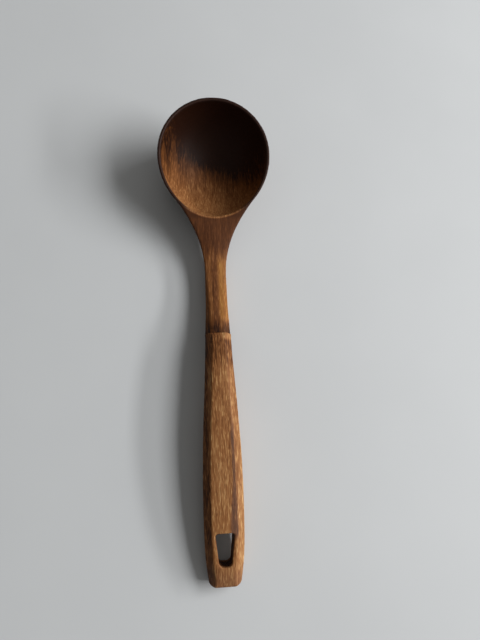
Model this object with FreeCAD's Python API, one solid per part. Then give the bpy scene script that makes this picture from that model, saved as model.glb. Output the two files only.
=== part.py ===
"""Wooden soup ladle: a deep carved bowl with a flared neck, and an arched grip joined to it
end to end by two glued dowel pins.

Lengths are millimetres. The ladle is shaped with its rim level: the bowl's centre is the origin of
that frame, X runs across, Z up, and the neck and grip run towards -Y. It is then tipped to the way it
lies on a table, on a small flat under the bowl and on the end of its grip. The finished part's origin
is the middle of that flat, with the bowl towards +Y and the table at Z = 0.
"""
import FreeCAD, Part
import math
import os

Vector = FreeCAD.Vector

# Bowl
bowl_radius = 44.0            # outside of the rim, and the outside depth
bowl_near_reach = 49.0        # the outside is drawn out this far towards the grip
rim_wall = 2.6
bowl_floor = 5.0
near_wall = 0.6               # the hollow reaches this much less far towards the grip than the outside
foot_depth = 0.9              # sanded off the bottom to give the flat it stands on

# Neck
flare_start_share = 0.67      # of the bowl's near reach, where the neck grows out of the bowl
neck_width = 16.8             # at its narrowest
neck_thickness = 13.5         # there too
neck_end_thickness = 17.5     # at the joint
neck_crown = 1.0              # the top face is rounded up by this much along its middle
neck_length = 94.8            # along the top, from the hollow's edge to the joint
brow_radius = 45.0            # rounded fall of the top face from the rim
brow_angle = math.radians(16.0)
dip_radius = 99.0             # hollow curve of the neck's top face after it
dip_angle = math.radians(24.5)  # rise of the top face, against the rim, where that curve ends
arch_radius = 534.0           # humped curve of the top face from there to the grip's end
neck_spans = 16               # evenly spaced sections shape the neck

# Grip
grip_length = 178.2
joint_width = 20.2
grip_width = 29.2             # at its widest
end_width = 22.5
widest_share = 0.7            # of the grip's length
grip_crown = 1.2              # the top face is rounded up by this much along its middle
grip_thickness = 20.5         # at its thickest, without the crown
end_thickness = 12.4
thickest_share = 0.4          # of the grip's length
sole_start_width = 1.0        # flat along the underside, at the joint
sole_width = 20.0
sole_full_share = 0.5         # of the grip's length, where the sole has its full width
step_height = 2.2             # the grip's upper edges stand this much above the neck's
lip_height = 2.0              # of the upright part of that step
lip_length = 4.5              # of the slope from there up to the grip's top face
end_corner_radius = 4.7
end_round_length = 10.0       # the top face rounds down towards the end
end_round_drop = 2.0
corner_ease_share = 0.03      # of that radius, so that the round crosses the sides cleanly
grip_spans = 12

# Flats planed along the two upper edges, run out to nothing on the neck
neck_flat = 4.0               # at the joint
grip_flat = 4.7
flat_start_share = 0.42       # of the neck's length
flat_full_share = 0.25        # of the grip's length
flat_lead_share = 0.1         # of its run on the neck, where the cutter is still clear of the wood
flat_reach = 6.0              # the cutter reaches this far past the edge on each side
flat_spans = 6

# Hang slot through the grip
slot_length = 22.7
slot_wide = 13.5
slot_narrow = 8.6
slot_end_margin = 13.9
slot_corner_radius = 1.8
slot_tip_radius = 3.6
corner_limit_share = 0.9      # of half the narrow end, the most that a corner can take

# Dowels and glue
dowel_diameter = 5.0
dowel_length = 36.0
dowel_spacing = 8.0
dowel_depth = 5.2             # under the neck's top face
dowel_chamfer = 0.6
dowel_fit_clearance = 0.05
dowel_end_gap = 1.0
flute_count = 10
flute_diameter = 0.7
glue_thickness = 0.15

overrun = 1.0                 # cutters pass through the wood by this much

# Worked out from the sizes above
cavity_near_reach = bowl_near_reach - near_wall
flare_start = flare_start_share * bowl_near_reach
flare_radius = bowl_radius * math.sqrt(1 - flare_start_share ** 2)
flare_slope = bowl_radius / bowl_near_reach * flare_start_share / math.sqrt(1 - flare_start_share ** 2)
brow_length = brow_radius * brow_angle
dip_length = dip_radius * (brow_angle + dip_angle)
joint_place = cavity_near_reach + neck_length
joint_thickness = neck_end_thickness + step_height
end_place = joint_place + grip_length


def path_point(place):
    """Point (y, z) of the top centre line, and its slope, at a distance along it from the bowl."""
    y = -min(place, flare_start)
    z = 0
    slope = 0
    left = place - flare_start
    for radius, length in ((-brow_radius, brow_length), (dip_radius, dip_length), (-arch_radius, end_place)):
        turned = slope + max(0, min(left, length)) / radius
        y -= radius * (math.sin(turned) - math.sin(slope))
        z += radius * (math.cos(slope) - math.cos(turned))
        slope = turned
        left -= length
    return y, z, slope


def shifted(placement, x, y, z):
    return placement.multiply(FreeCAD.Placement(Vector(x, y, z), FreeCAD.Rotation()))


def station(place, lift=0):
    """Placement of a cross-section: X runs across, Y up, Z towards the grip's end.

    Y is square to the top face where that rises, and upright where it falls away from the rim.
    """
    y, z, slope = path_point(place)
    lean = max(0, slope)
    across = Vector(1, 0, 0)
    normal = Vector(0, math.sin(lean), math.cos(lean))
    rotation = FreeCAD.Rotation(across, normal, across.cross(normal), "XYZ")
    return shifted(FreeCAD.Placement(Vector(0, y, z), rotation), 0, lift, 0)


def blended(start_value, end_value, place):
    """Curve from the bowl's side to a steady value, starting in line with the bowl."""
    span = 2 * (start_value - end_value) / flare_slope
    left = max(0, 1 - (place - flare_start) / span)
    return end_value + (start_value - end_value) * left ** 2, flare_start + span


def neck_size(place, slim, full):
    """Half width or depth: the flare narrows to the neck, which swells again towards the joint."""
    size, narrowest = blended(flare_radius, slim, place)
    gone = max(0, (place - narrowest) / (joint_place - narrowest))
    return size + (full - slim) * gone ** 2


def neck_half_width(place):
    return neck_size(place, neck_width / 2, joint_width / 2)


def neck_depth(place):
    return neck_size(place, neck_thickness, neck_end_thickness)


def neck_rounding(place):
    """The crown of the top face: none at the bowl's rim, full where the fall from it ends."""
    grown = min(1, (place - flare_start) / (cavity_near_reach - flare_start + brow_length))
    return neck_crown * grown ** 2


def swelling(share, start, peak, end, peak_share, fall_power):
    """A size that eases up to its peak along the grip and then falls away to the end."""
    if share <= peak_share:
        return start + (peak - start) * math.sin(math.pi / 2 * (share / peak_share) ** 0.8) ** 2
    return peak + (end - peak) * ((share - peak_share) / (1 - peak_share)) ** fall_power


def grip_half_width(share):
    return swelling(share, joint_width, grip_width, end_width, widest_share, 3) / 2


def grip_depth(share):
    return swelling(share, joint_thickness, grip_thickness, end_thickness, thickest_share, 1.7)


def grip_sole(share):
    return sole_start_width + (sole_width - sole_start_width) * min(1, share / sole_full_share)


def grip_station(share):
    """Placement on the grip's own top face; the first one lies on the glue."""
    if share == 0:
        return shifted(station(joint_place, step_height), 0, 0, glue_thickness)
    return station(joint_place + share * grip_length, step_height)


def scaled(edge, across, along):
    """A unit edge stretched to its real size in its own plane."""
    matrix = FreeCAD.Matrix()
    matrix.scale(across, along, 1)
    return edge.transformGeometry(matrix)


def unit_arc(first, last):
    return Part.ArcOfCircle(Part.Circle(), first, last).toShape()


def neck_section(placement, half_width, depth, crown):
    """Flat or crowned top with a half-round belly under it."""
    belly = scaled(unit_arc(math.pi, 2 * math.pi), half_width, depth)
    right = Vector(half_width, 0, 0)
    top = Part.makeLine(right, -right)
    if crown > 0:
        top = Part.Arc(right, Vector(0, crown, 0), -right).toShape()
    wire = Part.Wire([belly, top])
    wire.Placement = placement
    return wire


def grip_section(share):
    """Crowned top and flat sole with rounded flanks between them."""
    half_width = grip_half_width(share)
    depth = grip_depth(share)
    half_sole = grip_sole(share) / 2
    flanks = []
    for side, first in ((-1, math.pi), (1, 3 * math.pi / 2)):
        flank = scaled(unit_arc(first, first + math.pi / 2), half_width - half_sole, depth)
        flank.translate(Vector(side * half_sole, 0, 0))
        flanks.append(flank)
    sole = Part.makeLine(Vector(-half_sole, -depth, 0), Vector(half_sole, -depth, 0))
    right = Vector(half_width, 0, 0)
    top = Part.Arc(right, Vector(0, grip_crown, 0), -right).toShape()
    wire = Part.Wire([flanks[0], sole, flanks[1], top])
    wire.Placement = grip_station(share)
    return wire


def turned_bowl(radius, near_reach, cut_share, turn):
    """Half outline, round at the far side and drawn out towards the neck, turned about its length."""
    cut_angle = math.asin(cut_share)
    far = scaled(unit_arc(0, math.pi / 2), radius, radius)
    near = scaled(unit_arc(-cut_angle, 0), radius, near_reach)
    side = Vector(radius * math.cos(cut_angle), -near_reach * cut_share, 0)
    middle = Vector(0, side.y, 0)
    edges = [far, near, Part.makeLine(Vector(0, radius, 0), middle)]
    if cut_share < 1:
        edges.append(Part.makeLine(middle, side))
    outline = Part.Face(Part.Wire(Part.sortEdges(edges)[0]))
    return outline.revolve(Vector(0, 0, 0), Vector(0, 1, 0), turn)


def bowl_cavity():
    """The hollow: its axis is raised above the rim, which leaves the floor thicker than the rim."""
    mouth_radius = bowl_radius - rim_wall
    depth = bowl_radius - bowl_floor
    raised = (mouth_radius ** 2 - depth ** 2) / (2 * depth)
    radius = depth + raised
    cavity = turned_bowl(radius, cavity_near_reach * radius / mouth_radius, 1, 360)
    cavity.translate(Vector(0, 0, raised))
    return cavity


def corner_flat(side, rows):
    """Cutter for one upper edge: a run of triangles whose long side is the planed flat."""
    wires = []
    for placement, half_width, flat in rows:
        inner = Vector(side * (half_width - flat - flat_reach), flat_reach, 0)
        lower = Vector(side * (half_width + flat_reach), -flat - flat_reach, 0)
        outer = Vector(side * (half_width + flat_reach), flat_reach, 0)
        wire = Part.makePolygon([inner, lower, outer, inner])
        wire.Placement = placement
        wires.append(wire)
    return Part.makeLoft(wires, True, False)


def neck_flats():
    """The two cutters on the neck: they enter the wood little by little, so the flats start as points."""
    start = cavity_near_reach + flat_start_share * neck_length
    run = joint_place - start
    first = start - flat_lead_share * run
    last = joint_place + overrun
    rows = []
    for number in range(flat_spans + 1):
        place = first + (last - first) * number / flat_spans
        rows.append((station(place), neck_half_width(place), neck_flat * (place - start) / run))
    return [corner_flat(side, rows) for side in (-1, 1)]


def grip_flats():
    """The two cutters on the grip, which run past both its ends."""
    rows = []
    for number in range(grip_spans + 1):
        share = number / grip_spans
        flat = neck_flat + (grip_flat - neck_flat) * min(1, share / flat_full_share)
        past = overrun * ((number == grip_spans) - (number == 0))
        rows.append((shifted(grip_station(share), 0, 0, past), grip_half_width(share), flat))
    return [corner_flat(side, rows) for side in (-1, 1)]


def end_corner(side):
    """Cutter that rounds one corner of the grip's end, seen from above."""
    before = 1 - 1 / grip_spans
    taper = (grip_half_width(before) - grip_half_width(1)) * grip_spans / grip_length
    inset = end_corner_radius * (1 - corner_ease_share)
    reach = grip_thickness + overrun
    size = end_corner_radius + overrun
    centre = Vector(side * (grip_half_width(1) + taper * end_corner_radius - inset), -reach, -inset)
    block = Part.makeBox(size, 2 * reach, size, centre + Vector(min(0, side) * size, 0, 0))
    cutter = block.cut(Part.makeCylinder(end_corner_radius, 2 * reach, centre, Vector(0, 1, 0)))
    cutter.Placement = grip_station(1).multiply(cutter.Placement)
    return cutter


def lip_bevel():
    """Cutter for the slope that leads from the neck up to the grip's top face."""
    rise = step_height + grip_crown - lip_height
    past = rise / lip_length * overrun
    low = Vector(-joint_width, lip_height - past, -overrun)
    high = Vector(-joint_width, lip_height + rise + past, lip_length + overrun)
    corners = [low, high, Vector(-joint_width, high.y, -overrun), low]
    cutter = Part.Face(Part.makePolygon(corners)).extrude(Vector(2 * joint_width, 0, 0))
    cutter.Placement = station(joint_place)
    return cutter


def end_round():
    """Cutter that rounds the top face down towards the grip's end."""
    radius = (end_round_length ** 2 + end_round_drop ** 2) / (2 * end_round_drop)
    size = end_round_length + overrun
    block = Part.makeBox(2 * grip_width, end_round_drop + 2 * overrun, size,
                         Vector(-grip_width, -end_round_drop - overrun, 0))
    roller = Part.makeCylinder(radius, 2 * grip_width, Vector(-grip_width, -radius, 0), Vector(1, 0, 0))
    cutter = block.cut(roller)
    cutter.Placement = station(end_place - end_round_length, step_height + grip_crown)
    return cutter


def hang_slot():
    """Tapered slot with rounded corners, wide towards the bowl."""
    height = grip_thickness + grip_crown + 2 * overrun
    corners = ((-slot_wide, -1), (slot_wide, -1), (slot_narrow, 1), (-slot_narrow, 1))
    points = [Vector(width / 2, -grip_thickness - overrun, end * slot_length / 2) for width, end in corners]
    slot = Part.Face(Part.makePolygon(points + points[:1])).extrude(Vector(0, height, 0))
    for end, radius in ((-1, slot_corner_radius), (1, slot_tip_radius)):
        upright = [edge for edge in slot.Edges
                   if edge.BoundBox.YLength > edge.Length / 2 and edge.CenterOfMass.z * end > 0]
        slot = slot.makeFillet(min(radius, corner_limit_share * slot_narrow / 2), upright)
    slot.Placement = station(end_place - slot_end_margin - slot_length / 2, step_height)
    return slot


def dowel_hole(side):
    depth = dowel_length + 2 * dowel_end_gap
    hole = Part.makeCylinder(dowel_diameter / 2 + dowel_fit_clearance, depth)
    hole.Placement = shifted(station(joint_place), side * dowel_spacing / 2, -dowel_depth, -depth / 2)
    return hole


def dowel_pin(side):
    """Pin with eased ends and glue flutes pressed along it."""
    pin = Part.makeCylinder(dowel_diameter / 2, dowel_length)
    pin = pin.makeChamfer(dowel_chamfer, [edge for edge in pin.Edges if len(edge.Vertexes) == 1])
    for number in range(flute_count):
        turn = 2 * math.pi * number / flute_count
        centre = Vector(math.cos(turn), math.sin(turn), 0) * (dowel_diameter / 2)
        pin = pin.cut(Part.makeCylinder(flute_diameter / 2, dowel_length, centre))
    pin.Placement = shifted(station(joint_place), side * dowel_spacing / 2, -dowel_depth, -dowel_length / 2)
    return pin


def make_head():
    """Bowl and neck, hollowed and drilled."""
    sections = []
    for number in range(neck_spans + 1):
        place = flare_start + (joint_place - flare_start) * number / neck_spans
        sections.append(neck_section(station(place), neck_half_width(place), neck_depth(place),
                                     neck_rounding(place)))
    neck = Part.makeLoft(sections, True, False)
    for cutter in neck_flats():
        neck = neck.cut(cutter)
    hull = turned_bowl(bowl_radius, bowl_near_reach, flare_start_share, 180)
    head = hull.fuse(neck).removeSplitter().cut(bowl_cavity())
    for side in (-1, 1):
        head = head.cut(dowel_hole(side))
    return head


def make_grip():
    """Grip with sloped lip, planed edges, rounded end, drilled joint and hang slot."""
    sections = [grip_section(number / grip_spans) for number in range(grip_spans + 1)]
    grip = Part.makeLoft(sections, True, False)
    sides = [end_corner(side) for side in (-1, 1)] + [dowel_hole(side) for side in (-1, 1)]
    for cutter in [lip_bevel(), end_round()] + grip_flats() + sides + [hang_slot()]:
        grip = grip.cut(cutter)
    return grip


def glue_film(head):
    """Film of glue on the neck's end face, open where the dowels pass."""
    joint = station(joint_place)
    middle = joint.multVec(Vector(0, -neck_end_thickness / 2, 0))
    face = min(head.Faces, key=lambda one: one.CenterOfMass.distanceToPoint(middle))
    return face.extrude(joint.Rotation.multVec(Vector(0, 0, glue_thickness)))


def bowl_support(tilt):
    """Height of the bowl's centre over its lowest point when tipped."""
    return math.hypot(bowl_near_reach * math.sin(tilt), bowl_radius * math.cos(tilt))


def resting_tilt():
    """Tilt at which the flat under the bowl and the end of the grip both lie on the table."""
    heel = station(end_place, step_height - end_thickness).Base
    low = -math.pi / 4
    high = math.pi / 3
    for _ in range(60):
        tilt = (low + high) / 2
        if heel.y * math.sin(tilt) + heel.z * math.cos(tilt) + bowl_support(tilt) > foot_depth:
            low = tilt
        else:
            high = tilt
    return tilt


def resting_placement(tilt):
    """From the level frame to the table: the middle of the flat becomes the origin."""
    support = bowl_support(tilt)
    lowest = Vector(0, -bowl_near_reach ** 2 * math.sin(tilt), -bowl_radius ** 2 * math.cos(tilt)) / support
    turn = FreeCAD.Rotation(Vector(1, 0, 0), math.degrees(tilt))
    return FreeCAD.Placement(turn.multVec(-lowest * (1 - foot_depth / support)), turn)


lying = resting_placement(resting_tilt())
head = make_head()
pieces = {
    "bowl_head": head,
    "handle": make_grip(),
    "glue_line": glue_film(head),
    "dowel_pin_left": dowel_pin(-1),
    "dowel_pin_right": dowel_pin(1),
}
for shape in pieces.values():
    shape.Placement = lying.multiply(shape.Placement)
sanded = Part.makeBox(2 * bowl_radius, 2 * bowl_radius, foot_depth + overrun,
                      Vector(-bowl_radius, -bowl_radius, -foot_depth - overrun))
pieces["bowl_head"] = head.cut(sanded)

os.makedirs("parts", exist_ok=True)
for name, shape in pieces.items():
    state = "valid" if shape.isValid() else "broken"
    print(name, state, len(shape.Solids), "solid", round(shape.Volume), "mm3")
    shape.exportStep("parts/" + name + ".step")
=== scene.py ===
import math

import bmesh
import bpy
import numpy as np
from mathutils import Euler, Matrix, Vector


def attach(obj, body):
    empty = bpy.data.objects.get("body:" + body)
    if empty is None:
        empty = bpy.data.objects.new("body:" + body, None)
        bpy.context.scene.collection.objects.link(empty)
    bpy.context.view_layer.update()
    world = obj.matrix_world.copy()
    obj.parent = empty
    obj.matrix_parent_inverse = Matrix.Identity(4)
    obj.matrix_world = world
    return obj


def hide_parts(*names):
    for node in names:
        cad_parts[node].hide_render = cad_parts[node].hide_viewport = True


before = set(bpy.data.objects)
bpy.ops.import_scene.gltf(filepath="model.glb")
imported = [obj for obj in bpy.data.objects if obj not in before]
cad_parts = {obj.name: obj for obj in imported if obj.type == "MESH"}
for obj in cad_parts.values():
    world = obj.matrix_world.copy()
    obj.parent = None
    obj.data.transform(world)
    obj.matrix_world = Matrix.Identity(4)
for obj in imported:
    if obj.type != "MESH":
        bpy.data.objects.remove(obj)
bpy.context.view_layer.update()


# Bowl and neck: one block of reddish brown hardwood. The bowl is turned hollow on a lathe, the flare and
# the neck are sawn and rasped from the same block, and the whole is sanded by hand and oiled.

class Wire:
    """One socket of a node tree. Arithmetic on it adds Math nodes to that tree."""

    def __init__(self, tree, socket=None):
        self.tree = tree
        self.socket = socket

    @staticmethod
    def pick(sockets, key):
        if isinstance(key, int):
            return sockets[key]
        return next(s for s in sockets if s.enabled and key in (s.identifier, s.name))

    def node(self, kind, settings=None, inputs=None, out=0):
        """Adds a node of any kind, its settings first, then its inputs, and gives one of its outputs."""
        made = self.tree.nodes.new(kind)
        for key, value in (settings or {}).items():
            if key == "stops":
                self.set_stops(made.color_ramp.elements, value)
            else:
                setattr(made, key, value)
        for key, value in (inputs or {}).items():
            socket = self.pick(made.inputs, key)
            if isinstance(value, Wire):
                self.tree.links.new(value.socket, socket)
            else:
                socket.default_value = value
        return Wire(self.tree, self.pick(made.outputs, out) if made.outputs else None)

    @staticmethod
    def set_stops(elements, stops):
        while len(elements) < len(stops):
            elements.new(1.0)
        for element, (place, colour) in zip(elements, stops):
            element.position = place
            element.color = (*colour, 1.0)

    def also(self, out):
        """Another output of the same node."""
        return Wire(self.tree, self.pick(self.socket.node.outputs, out))

    def math(self, operation, first, second):
        return self.node("ShaderNodeMath", {"operation": operation}, {0: first, 1: second})

    def __add__(self, other):
        return self.math("ADD", self, other)

    __radd__ = __add__

    def __sub__(self, other):
        return self.math("SUBTRACT", self, other)

    def __rsub__(self, other):
        return self.math("SUBTRACT", other, self)

    def __mul__(self, other):
        return self.math("MULTIPLY", self, other)

    __rmul__ = __mul__

    def __truediv__(self, other):
        return self.math("DIVIDE", self, other)

    def __rtruediv__(self, other):
        return self.math("DIVIDE", other, self)

    def __pow__(self, other):
        return self.math("POWER", self, other)

    def __abs__(self):
        return self.math("MAXIMUM", self, 0 - self)

    def above(self, other):
        """How far this is above the other value, and 0 below it."""
        return self.math("MAXIMUM", self - other, 0.0)

    def fade(self, start, end):
        """A soft mask: 0 at start and 1 at end, whichever of the two is larger."""
        limits = {"Value": self, "From Min": start, "From Max": end}
        return self.node("ShaderNodeMapRange", {"interpolation_type": "SMOOTHSTEP"}, limits)

    def blend(self, first, second, how="MIX"):
        """Two colours mixed, with this value as the share of the second one."""
        settings = {"data_type": "RGBA", "blend_type": how, "clamp_factor": True}
        colours = {"Factor_Float": self, "A_Color": first, "B_Color": second}
        return self.node("ShaderNodeMix", settings, colours, out="Result_Color")


def worked_surface():
    """Geometry Nodes for sanded wood: edges eased, a faint ripple left by the tools, worn edges marked."""
    tree = bpy.data.node_groups.new("worked_surface", "GeometryNodeTree")
    tree.is_modifier = True
    inputs = [
        ("Body", "NodeSocketGeometry"), ("Ease passes", "NodeSocketInt"), ("Edge depth", "NodeSocketFloat"),
        ("Joint y", "NodeSocketFloat"), ("Joint margin", "NodeSocketFloat"),
        ("Ripple height", "NodeSocketFloat"), ("Ripple length", "NodeSocketFloat"),
        ("Ripple seed", "NodeSocketFloat"), ("Wood", "NodeSocketMaterial")]
    for name, kind in inputs:
        tree.interface.new_socket(name=name, in_out="INPUT", socket_type=kind)
    tree.interface.new_socket(name="Worked body", in_out="OUTPUT", socket_type="NodeSocketGeometry")
    given = Wire(tree).node("NodeGroupInput", out="Body")
    place = given.node("GeometryNodeInputPosition")
    normal = given.node("GeometryNodeInputNormal")
    y = given.node("ShaderNodeSeparateXYZ", inputs={"Vector": place}, out="Y")
    free = (abs(y - given.also("Joint y")) / given.also("Joint margin")).fade(0.3, 1.0)
    eased = given.node(
        "GeometryNodeBlurAttribute", {"data_type": "FLOAT_VECTOR"},
        {"Value": place, "Iterations": given.also("Ease passes"), "Weight": free})
    taken = given.node(
        "ShaderNodeVectorMath", {"operation": "SUBTRACT"}, {"Vector": place, "Vector_001": eased})
    depth = given.node(
        "ShaderNodeVectorMath", {"operation": "DOT_PRODUCT"}, {"Vector": taken, "Vector_001": normal},
        out="Value")
    marked = given.node(
        "GeometryNodeStoreNamedAttribute", {"data_type": "FLOAT", "domain": "POINT"},
        {"Geometry": given, "Name": "edge_wear", "Value": depth / given.also("Edge depth")})
    rounded = given.node("GeometryNodeSetPosition", inputs={"Geometry": marked, "Position": eased})
    ripple = given.node(
        "ShaderNodeTexNoise", {"noise_dimensions": "4D"},
        {"Vector": place, "W": given.also("Ripple seed"), "Scale": 1 / given.also("Ripple length"),
         "Detail": 1.0})
    lift = (ripple - 0.5) * free * given.also("Ripple height")
    offset = given.node("ShaderNodeVectorMath", {"operation": "SCALE"}, {"Vector": normal, "Scale": lift})
    rippled = given.node("GeometryNodeSetPosition", inputs={"Geometry": rounded, "Offset": offset})
    shaded = given.node("GeometryNodeSetShadeSmooth", inputs={"Geometry": rippled})
    whole = given.node("GeometryNodeRealizeInstances", inputs={"Geometry": shaded})
    oiled = given.node(
        "GeometryNodeSetMaterial", inputs={"Geometry": whole, "Material": given.also("Wood")})
    given.node("NodeGroupOutput", inputs={"Worked body": oiled})
    return tree


def set_inputs(modifier, tree, values):
    """Sets a modifier's inputs from a dict of input names, by the sockets' identifiers."""
    modifier.node_group = tree
    for item in tree.interface.items_tree:
        if item.in_out == "INPUT" and item.name in values:
            modifier[item.identifier] = values[item.name]


def plain_object(name, rough):
    """The evaluated shape of a rough object as a plain mesh object, with the rough one removed."""
    bpy.context.view_layer.update()
    shape = rough.evaluated_get(bpy.context.evaluated_depsgraph_get())
    mesh = bpy.data.meshes.new_from_object(shape)
    bpy.data.objects.remove(rough)
    piece = bpy.data.objects.new(name, mesh)
    bpy.context.scene.collection.objects.link(piece)
    return piece


def worked_piece(name, node, cell, values):
    """A solid copied, welded, meshed anew in even cells and then worked by hand."""
    weld = 1e-6
    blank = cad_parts[node].data.copy()
    blank.materials.clear()
    welded = bmesh.new()
    welded.from_mesh(blank)
    bmesh.ops.remove_doubles(welded, verts=welded.verts, dist=weld)
    welded.to_mesh(blank)
    welded.free()
    rough = bpy.data.objects.new(name + "_rough", blank)
    bpy.context.scene.collection.objects.link(rough)
    even = rough.modifiers.new("even_cells", "REMESH")
    even.mode = "VOXEL"
    even.voxel_size = cell
    set_inputs(rough.modifiers.new("worked_surface", "NODES"), worked_tree, values)
    return plain_object(name, rough)


def new_material(name):
    """An empty material and its Principled shader's node."""
    material = bpy.data.materials.new(name)
    material.use_nodes = True
    return material, material.node_tree.nodes["Principled BSDF"]


def fibre_place(wire):
    """A point's place in the wood in millimetres: across, along the fibres, and up from the sawn sweep."""
    per_metre = 1000
    arch_top, arch_radius = -196.0, 534.0
    dip_end, dip_radius = -107.8, 99.0
    brow_end, brow_start, brow_radius = -40.5, -29.0, 45.0
    place = wire.node("ShaderNodeTexCoord", out="Object")
    x = wire.node("ShaderNodeSeparateXYZ", inputs={"Vector": place}, out="X")
    y = x.also("Y") * per_metre
    arch = (y - arch_top) ** 2 / (-2 * arch_radius)
    dip = y.above(dip_end) ** 2 * ((1 / dip_radius + 1 / arch_radius) / 2)
    brow = y.above(brow_end) ** 2 * ((1 / dip_radius + 1 / brow_radius) / -2)
    rim = y.above(brow_start) ** 2 / (2 * brow_radius)
    return x * per_metre, y, x.also("Z") * per_metre - (arch + dip + brow + rim)


def grain(point, width, length, detail=2.0, seed=0.0, depth=1.0):
    """Noise drawn out along the fibres: patches of that width and length, and that many widths deep."""
    across, along, up = point
    vector = across.node(
        "ShaderNodeCombineXYZ",
        inputs={"X": across / width + seed, "Y": along / length, "Z": up / (width * depth)})
    return across.node("ShaderNodeTexNoise", inputs={"Vector": vector, "Scale": 1.0, "Detail": detail})


def growth_rings(point, heart, spacing, warp):
    """Light and dark layers round the heart of the tree, which lies outside the blank."""
    across, _, up = point
    heart_across, heart_up = heart
    bend = grain(point, 22.0, 90.0, seed=3.0) - 0.5
    radius = ((across - heart_across) ** 2 + (up - heart_up) ** 2) ** 0.5 + bend * warp
    return across.node(
        "ShaderNodeTexNoise", {"noise_dimensions": "1D"},
        {"W": radius / spacing, "Scale": 1.0, "Detail": 3.0})


def wood_tone(point, heart, seed, depth):
    """How much lighter or darker than its mean the wood is, and a mask of its open pores."""
    ring_spacing, ring_warp = 3.4, 9.0
    mean, mean_hairs = 0.5, 0.34
    rings = growth_rings(point, heart, ring_spacing, ring_warp) - mean
    broad = grain(point, 7.0, 70.0, seed=seed) - mean
    lines = grain(point, 0.75, 15.0, seed=seed + 5, depth=depth) - mean
    hairs = grain(point, 0.5, 5.5, 1.0, seed=seed + 9, depth=depth).fade(0.5, 0.68) - mean_hairs
    pores = grain(point, 0.4, 4.5, 1.0, seed=seed + 13).fade(0.62, 0.7)
    return rings * 0.4 + broad * 0.3 + lines * 0.75 + hairs * 0.34, pores


def oil_finish(material, shader, colour, tone, pores, edge):
    """Connects an oiled wood's colour, its satin sheen and the relief of its pores and grain."""
    edge_share, pore_share = 0.5, 0.45
    pore_colour = (0.05, 0.018, 0.008, 1.0)
    satin, sheen = 0.52, 0.1
    pore_depth, relief_strength = 0.00012, 0.35
    wire = Wire(material.node_tree)
    wear = wire.node("ShaderNodeAttribute", {"attribute_name": "edge_wear"}, out="Fac").fade(0.15, 0.9)
    worn = (wear * edge_share).blend(colour, edge)
    surface = (pores * pore_share).blend(worn, pore_colour)
    rough = satin + pores * 0.2 - tone * 0.1 - wear * 0.08
    relief = tone * 0.25 - pores
    bump = wire.node(
        "ShaderNodeBump", inputs={"Strength": relief_strength, "Distance": pore_depth, "Height": relief},
        out="Normal")
    for key, value in (("Base Color", surface), ("Roughness", rough), ("Normal", bump)):
        material.node_tree.links.new(value.socket, shader.inputs[key])
    shader.inputs["Specular IOR Level"].default_value = sheen


wood_shades = [
    (0.0, (0.014, 0.004, 0.0015)), (0.25, (0.122, 0.043, 0.012)), (0.5, (0.240, 0.100, 0.035)),
    (0.75, (0.360, 0.190, 0.072)), (1.0, (0.480, 0.285, 0.130))]


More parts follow.
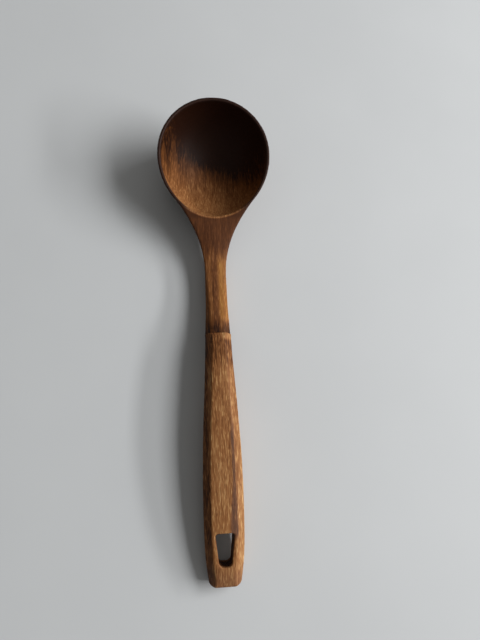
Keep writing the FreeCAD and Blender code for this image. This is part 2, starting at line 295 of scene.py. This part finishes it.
def head_wood():
    """Dark reddish wood in the bowl and on the flare, opening into golden streaks along the neck, with
    painted shadow and light inside the bowl and painted shade at the foot of the neck's step.
    """
    heart_of_tree, seed, grain_depth = (-120.0, -20.0), 2.0, 7.0
    rim_normal, rim_level = (0.0, -264.3, 964.4), 41.228
    rim_fall, rim_middle = (0.0, 964.4, 264.3), 14.014
    near_share = 0.855
    hollow_shell, outer_shell = 41.8, 43.2
    purple, golden = (0.86, 0.84, 1.1, 1.0), (1.04, 1.0, 0.7, 1.0)
    near_black_rim, worn_edge = (0.016, 0.007, 0.005, 1.0), (0.045, 0.016, 0.009, 1.0)
    material, shader = new_material("oiled_head_wood")
    wire = Wire(material.node_tree)
    point = fibre_place(wire)
    across, along, _ = point
    tone, pores = wood_tone(point, heart_of_tree, seed, grain_depth)
    ragged = (grain(point, 1.6, 26.0, seed=31.0, depth=6.0) - 0.5) * 34
    place = wire.node("ShaderNodeTexCoord", out="Object")
    over_rim = wire.node(
        "ShaderNodeVectorMath", {"operation": "DOT_PRODUCT"},
        {"Vector": place, "Vector_001": rim_normal}, out="Value") - rim_level
    to_lip = rim_middle - wire.node(
        "ShaderNodeVectorMath", {"operation": "DOT_PRODUCT"},
        {"Vector": place, "Vector_001": rim_fall}, out="Value")
    from_middle = to_lip.math("MAXIMUM", to_lip * near_share, 0 - to_lip)
    reach = (across ** 2 + from_middle ** 2 + over_rim ** 2) ** 0.5
    outside = reach.fade(hollow_shell, outer_shell)
    bowl = along.fade(-46.0, -42.0)
    # Painted shadow: the far right of the bowl is painted darker where the rim's shadow falls inside it.
    painted_bowl_shadow = (along + across * 0.9 + ragged * 0.12).fade(-8.0, 32.0)
    # Painted shade: the far left wall of the bowl is painted darker.
    painted_wall_shade = (along - across * 0.33 + ragged * 0.12).fade(-8.0, 34.0)
    # Painted light: a paler pool inside the bowl on its near side, towards the neck.
    pale = (along - across * 0.3 + ragged * 0.3).fade(2.0, -28.0) * (1 - outside)
    flare = (along + ragged * 0.8).fade(-80.0, -64.0) * along.fade(-15.0, -30.0) * outside
    neck = along.fade(-66.0, -82.0)
    gold = (across + ragged * 0.06).fade(0.4, 3.2) * neck * along.fade(-131.0, -120.0)
    dull = abs(across + 1.2 + ragged * 0.05).fade(2.6, 1.0) * neck
    # Painted shade at the foot of the step up to the grip.
    step_shade = (along + ragged * 0.1).fade(-121.0, -134.0)
    contrast = 0.95 - flare * 0.65 - painted_bowl_shadow * 0.3 - painted_wall_shade * 0.3 - neck * 0.35 - bowl * 0.25
    shade = (0.5 + tone * contrast - bowl * 0.08 - painted_bowl_shadow * 0.42 + pale * 0.1 - painted_wall_shade * 0.38
             - flare * 0.32 - step_shade * 0.23 + gold * 0.13 - dull * 0.12 - neck * 0.12)
    bowl_back = outside * along.fade(-46.0, -30.0)
    shade = shade * (1 - bowl_back) + (0.17 + tone * 0.3) * bowl_back
    colour = wire.node("ShaderNodeValToRGB", {"stops": wood_shades}, {"Fac": shade}, out="Color")
    colour = (flare * 0.8 + dull * 0.5).blend(colour, purple, "MULTIPLY")
    colour = gold.blend(colour, golden, "MULTIPLY")
    # The rim's top is painted near black.
    at_rim = over_rim.fade(-3.2, -1.0) * along.fade(-42.0, -34.0) * 0.95
    colour = at_rim.blend(colour, near_black_rim)
    oil_finish(material, shader, colour, tone, pores, worn_edge)
    return material


joint_y = -0.1359
worked_tree = worked_surface()
bowl_and_neck = worked_piece("bowl_and_neck", "bowl_head", cell=0.0007, values={
    "Ease passes": 4, "Edge depth": 0.0004, "Joint y": joint_y, "Joint margin": 0.003,
    "Ripple height": 0.0005, "Ripple length": 0.022, "Ripple seed": 4.0, "Wood": head_wood()})
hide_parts("bowl_head")
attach(bowl_and_neck, "root")


# Dowel pins: two rods of plain pale hardwood, pressed with straight flutes that let the glue run, and
# chamfered at both ends. They stand side by side in the holes of the neck and the grip.

def fluted_pin():
    """Geometry Nodes for a pin between two points, with flutes round it and a chamfer at each end."""
    sides, groove_sharpness = 120, 4
    tree = bpy.data.node_groups.new("fluted_pin", "GeometryNodeTree")
    tree.is_modifier = True
    inputs = [
        ("Start", "NodeSocketVector"), ("End", "NodeSocketVector"), ("Radius", "NodeSocketFloat"),
        ("Chamfer", "NodeSocketFloat"), ("Rings", "NodeSocketInt"), ("Flutes", "NodeSocketInt"),
        ("Flute depth", "NodeSocketFloat"), ("Wood", "NodeSocketMaterial")]
    for name, kind in inputs:
        tree.interface.new_socket(name=name, in_out="INPUT", socket_type=kind)
    tree.interface.new_socket(name="Pin", in_out="OUTPUT", socket_type="NodeSocketGeometry")
    given = Wire(tree).node("NodeGroupInput", out="Start")
    line = given.node(
        "GeometryNodeCurvePrimitiveLine", inputs={"Start": given, "End": given.also("End")})
    axis = given.node(
        "GeometryNodeResampleCurve", inputs={"Curve": line, "Count": given.also("Rings")})
    share = given.node("GeometryNodeSplineParameter", out="Factor")
    length = given.node("GeometryNodeSplineLength", out="Length")
    to_end = share.math("MINIMUM", share, 1 - share) * length / given.also("Chamfer")
    cut = (1 - to_end).above(0.0) * given.also("Chamfer") / given.also("Radius")
    circle = given.node(
        "GeometryNodeCurvePrimitiveCircle", inputs={"Resolution": sides, "Radius": given.also("Radius")})
    place = given.node("GeometryNodeInputPosition")
    x = given.node("ShaderNodeSeparateXYZ", inputs={"Vector": place}, out="X")
    turn = x.math("ARCTAN2", x.also("Y"), x) * given.also("Flutes")
    groove = x.math("COSINE", turn, 0.0).above(0.0) ** groove_sharpness * given.also("Flute depth")
    shrink = 1 - groove / given.also("Radius")
    inward = given.node("ShaderNodeVectorMath", {"operation": "SCALE"}, {"Vector": place, "Scale": shrink})
    outline = given.node("GeometryNodeSetPosition", inputs={"Geometry": circle, "Position": inward})
    pin = given.node(
        "GeometryNodeCurveToMesh",
        inputs={"Curve": axis, "Profile Curve": outline, "Scale": 1 - cut, "Fill Caps": True})
    whole = given.node("GeometryNodeRealizeInstances", inputs={"Geometry": pin})
    finished = given.node(
        "GeometryNodeSetMaterial", inputs={"Geometry": whole, "Material": given.also("Wood")})
    given.node("NodeGroupOutput", inputs={"Pin": finished})
    return tree


def pin_wood():
    """Plain pale wood with short darker flecks."""
    material, shader = new_material("plain_pin_wood")
    wire = Wire(material.node_tree)
    point = fibre_place(wire)
    flecks = grain(point, 0.3, 1.8, 1.0, seed=41.0).fade(0.58, 0.66)
    tone = grain(point, 1.4, 20.0, 3.0, seed=47.0)
    colour = wire.node(
        "ShaderNodeValToRGB",
        {"stops": [(0.3, (0.42, 0.25, 0.12)), (0.7, (0.62, 0.42, 0.23))]}, {"Fac": tone}, out="Color")
    oil_finish(material, shader, colour, tone - 0.5, flecks * 0.5, (0.42, 0.25, 0.12, 1.0))
    return material


def pin_ends(node):
    """The middles of a pin's two end faces."""
    corners = np.array([v.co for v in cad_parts[node].data.vertices])
    lowest, highest = corners[:, 1].min(), corners[:, 1].max()
    reach = 0.0003
    start = corners[corners[:, 1] < lowest + reach].mean(0)
    end = corners[corners[:, 1] > highest - reach].mean(0)
    return start, end


pin_tree = fluted_pin()
pin_material = pin_wood()
for side in ("left", "right"):
    node = "dowel_pin_" + side
    start, end = pin_ends(node)
    rough = bpy.data.objects.new(node + "_rough", bpy.data.meshes.new(node + "_rough"))
    bpy.context.scene.collection.objects.link(rough)
    set_inputs(rough.modifiers.new("fluted_pin", "NODES"), pin_tree, {
        "Start": start.tolist(), "End": end.tolist(), "Radius": 0.0025, "Chamfer": 0.0006, "Rings": 61,
        "Flutes": 10, "Flute depth": 0.00035, "Wood": pin_material})
    pin = plain_object("fluted_" + node, rough)
    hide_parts(node)
    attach(pin, "root")


# Glue line: a film of set brown wood glue over the whole end joint, spread thin by the clamps and sanded
# flush with the wood round it.

def set_glue():
    """Brown glue, a little darker where it is thick."""
    material, shader = new_material("set_wood_glue")
    wire = Wire(material.node_tree)
    place = wire.node("ShaderNodeTexCoord", out="Object")
    blotches = wire.node("ShaderNodeTexNoise", inputs={"Vector": place, "Scale": 400.0, "Detail": 2.0})
    colour = blotches.blend((0.05, 0.022, 0.010, 1.0), (0.12, 0.055, 0.022, 1.0))
    rough = 0.35 + blotches * 0.2
    material.node_tree.links.new(colour.socket, shader.inputs["Base Color"])
    material.node_tree.links.new(rough.socket, shader.inputs["Roughness"])
    return material


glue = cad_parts["glue_line"]
glue.data.materials.clear()
glue.data.materials.append(set_glue())


# Grip: a second block of the same hardwood, golden brown with one dark streak. It is sawn to an arch,
# planed with a flat along each upper edge, slotted for a hook, then sanded and oiled.

def grip_wood():
    """Golden brown wood with a dark streak that runs into the slot, pale along its right edge, with painted
    shade on the left flank and in the slot and a painted highlight on the lip.
    """
    heart_of_tree, seed, grain_depth = (150.0, -30.0), 17.0, 2.5
    streak_place = 7.2
    dull_brown, worn_edge = (0.15, 0.075, 0.048, 1.0), (0.20, 0.085, 0.032, 1.0)
    material, shader = new_material("oiled_grip_wood")
    wire = Wire(material.node_tree)
    point = fibre_place(wire)
    across, along, up = point
    tone, pores = wood_tone(point, heart_of_tree, seed, grain_depth)
    wander = (grain(point, 9.0, 40.0, seed=23.0) - 0.5) * 3
    streak_half = 0.9 + along.fade(-235.0, -272.0) * 1.5
    streak_ends = along.fade(-196.0, -215.0) * along.fade(-284.0, -276.0)
    streak = (abs(across - streak_place + wander) / streak_half).fade(1.4, 0.6) * streak_ends
    sapwood = (across + wander).fade(9.0, 11.5) * along.fade(-150.0, -215.0)
    start_shade = along.fade(-172.0, -146.0)
    end_shade = along.fade(-294.0, -309.0)
    # Painted shade along the left flank, the side turned away from the windows.
    left_shade = across.fade(-7.0, -10.5)
    # Painted highlight on the top of the lip at the grip's start, where its rounded edge catches the light.
    lip = along.fade(-142.5, -138.5) * (across + wander).fade(-1.0, 4.0) * up.fade(18.0, 23.0)
    pale = along.fade(-205.0, -240.0)
    in_slot = abs(across).fade(8.0, 7.0) * along.fade(-301.0, -299.5) * along.fade(-275.0, -277.0)
    # Painted shade on the walls inside the hook slot.
    painted_slot_shade = in_slot * up.fade(24.8, 23.0) * up.fade(13.0, 16.0)
    shade = (0.52 + tone - streak * 0.32 - start_shade * 0.22 + lip * 0.34 + sapwood * 0.1 + pale * 0.06
             - end_shade * 0.08 - painted_slot_shade * 0.5 - left_shade * 0.24)
    colour = wire.node("ShaderNodeValToRGB", {"stops": wood_shades}, {"Fac": shade}, out="Color")
    colour = (streak * 0.55 + end_shade * 0.3).blend(colour, dull_brown)
    oil_finish(material, shader, colour, tone, pores, worn_edge)
    return material


grip = worked_piece("grip", "handle", cell=0.0005, values={
    "Ease passes": 4, "Edge depth": 0.0004, "Joint y": joint_y, "Joint margin": 0.003,
    "Ripple height": 0.0004, "Ripple length": 0.026, "Ripple seed": 9.0, "Wood": grip_wood()})
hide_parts("handle")
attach(grip, "root")


# Table top and light: a plain table painted pale grey. A broad soft window stands high to the right of the
# ladle with a long low one under it, and the pale wall on that side and the ceiling give a little light.

def pale_table():
    """Matt pale grey paint with the faintest mottling."""
    material, shader = new_material("pale_table_paint")
    wire = Wire(material.node_tree)
    place = wire.node("ShaderNodeTexCoord", out="Object")
    mottle = wire.node("ShaderNodeTexNoise", inputs={"Vector": place, "Scale": 9.0, "Detail": 3.0})
    colour = mottle.blend((0.50, 0.515, 0.525, 1.0), (0.545, 0.56, 0.57, 1.0))
    material.node_tree.links.new(colour.socket, shader.inputs["Base Color"])
    shader.inputs["Roughness"].default_value = 0.6
    shader.inputs["Specular IOR Level"].default_value = 0.25
    return material


table_half = 6.0
table_corners = [(-table_half, -table_half, 0), (table_half, -table_half, 0),
                 (table_half, table_half, 0), (-table_half, table_half, 0)]
table_mesh = bpy.data.meshes.new("table_top")
table_mesh.from_pydata(table_corners, [], [(0, 1, 2, 3)])
table_mesh.materials.append(pale_table())
table_top = bpy.data.objects.new("table_top", table_mesh)
bpy.context.scene.collection.objects.link(table_top)


def add_window(name, turn, height, wide, tall, power):
    """A soft window 2.5 m away: its turn is from +X towards +Y, its height an angle over the table."""
    far = 2.5
    aim = Vector((0.0, -0.13, 0.02))
    level = math.cos(math.radians(height))
    way = Vector((
        math.cos(math.radians(turn)) * level, math.sin(math.radians(turn)) * level,
        math.sin(math.radians(height))))
    light = bpy.data.lights.new(name, "AREA")
    light.shape = "RECTANGLE"
    light.size = wide
    light.size_y = tall
    light.energy = power
    window = bpy.data.objects.new(name, light)
    window.location = aim + way * far
    window.rotation_euler = (-way).to_track_quat("-Z", "Y").to_euler()
    bpy.context.scene.collection.objects.link(window)


add_window("side_window", turn=5.0, height=42.0, wide=2.2, tall=0.75, power=54.0)
add_window("low_window", turn=-2.0, height=25.0, wide=1.7, tall=0.2, power=36.0)

wall_light, ceiling_light, seen_grey = 1.25, 0.3, 0.5
room = bpy.data.worlds.new("room")
room.use_nodes = True
bpy.context.scene.world = room
room_wire = Wire(room.node_tree)
way = room_wire.node("ShaderNodeTexCoord", out="Generated")
rise = room_wire.node("ShaderNodeSeparateXYZ", inputs={"Vector": way}, out="Z")
right_wall = rise.fade(0.7, 0.05) * rise.also("X").fade(-0.1, 0.5)
lighting = right_wall * wall_light + rise.fade(0.5, 0.9) * ceiling_light
camera_ray = room_wire.node("ShaderNodeLightPath", out="Is Camera Ray")
seen = camera_ray.math("MAXIMUM", camera_ray, camera_ray.also("Is Glossy Ray"))
seen = seen.math("MAXIMUM", seen, camera_ray.also("Is Transmission Ray"))
room_strength = lighting * (1 - seen) + seen * seen_grey
background = room.node_tree.nodes["Background"]
background.inputs["Color"].default_value = (1.0, 0.985, 0.95, 1.0)
room.node_tree.links.new(room_strength.socket, background.inputs["Strength"])

camera_data = bpy.data.cameras.new("camera")
camera_data.sensor_width = 36.0
camera_data.lens = 29.46
camera = bpy.data.objects.new("camera", camera_data)
camera.location = (-0.02804, -0.22535, 0.40456)
camera.rotation_euler = Euler([math.radians(angle) for angle in (14.765, -6.031, -2.549)])
bpy.context.scene.collection.objects.link(camera)
bpy.context.scene.camera = camera
bpy.context.scene.view_settings.view_transform = "Standard"
